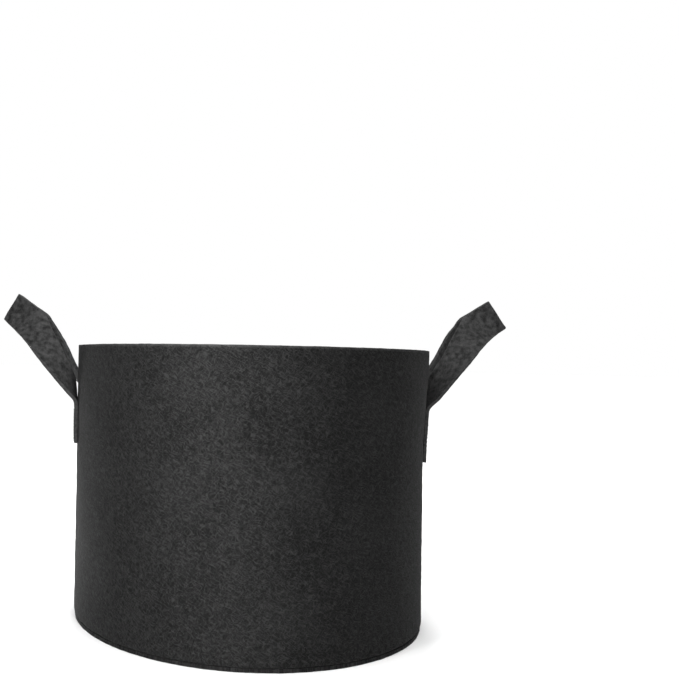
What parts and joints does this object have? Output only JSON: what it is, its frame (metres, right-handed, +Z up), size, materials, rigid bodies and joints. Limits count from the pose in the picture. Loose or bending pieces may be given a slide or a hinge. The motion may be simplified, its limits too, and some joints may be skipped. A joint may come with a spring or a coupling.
{
  "type": "fabric grow bag",
  "caption": "Round open-topped planting bag of black needled felt with a sewn flat base and a soft felt strap loop on each side for lifting.",
  "frame": {"origin": "centre of the bag's footprint, on the surface that it stands on", "axes": "+Z up along the bag's axis, +X through the right handle, the side seam at the back on +Y"},
  "size_m": [0.454, 0.305, 0.283],
  "materials": {
    "black_felt": "needle-punched polyester felt, matt",
    "black_thread": "twisted polyester sewing thread, slight sheen"
  },
  "bodies": {
    "bag": {"wall_panel": "black_felt", "base_disc": "black_felt", "side_seam_thread": "black_thread", "base_seam_thread": "black_thread", "left_strap_front_end": "black_felt", "left_strap_rear_end": "black_felt", "right_strap_front_end": "black_felt", "right_strap_rear_end": "black_felt", "left_front_stitching": "black_thread", "left_rear_stitching": "black_thread", "right_front_stitching": "black_thread", "right_rear_stitching": "black_thread"},
    "left_handle": {"left_strap_loop": "black_felt"},
    "right_handle": {"right_strap_loop": "black_felt"}
  },
  "joints": [
    {"name": "left_handle_swing", "type": "hinge", "parent": "bag", "child": "left_handle", "pos_m": [-0.1543, 0, 0.185], "axis": [0, -1, 0], "range_deg": [-8, 125]},
    {"name": "right_handle_swing", "type": "hinge", "parent": "bag", "child": "right_handle", "pos_m": [0.1543, 0, 0.185], "axis": [0, 1, 0], "range_deg": [-8, 125]}
  ]
}
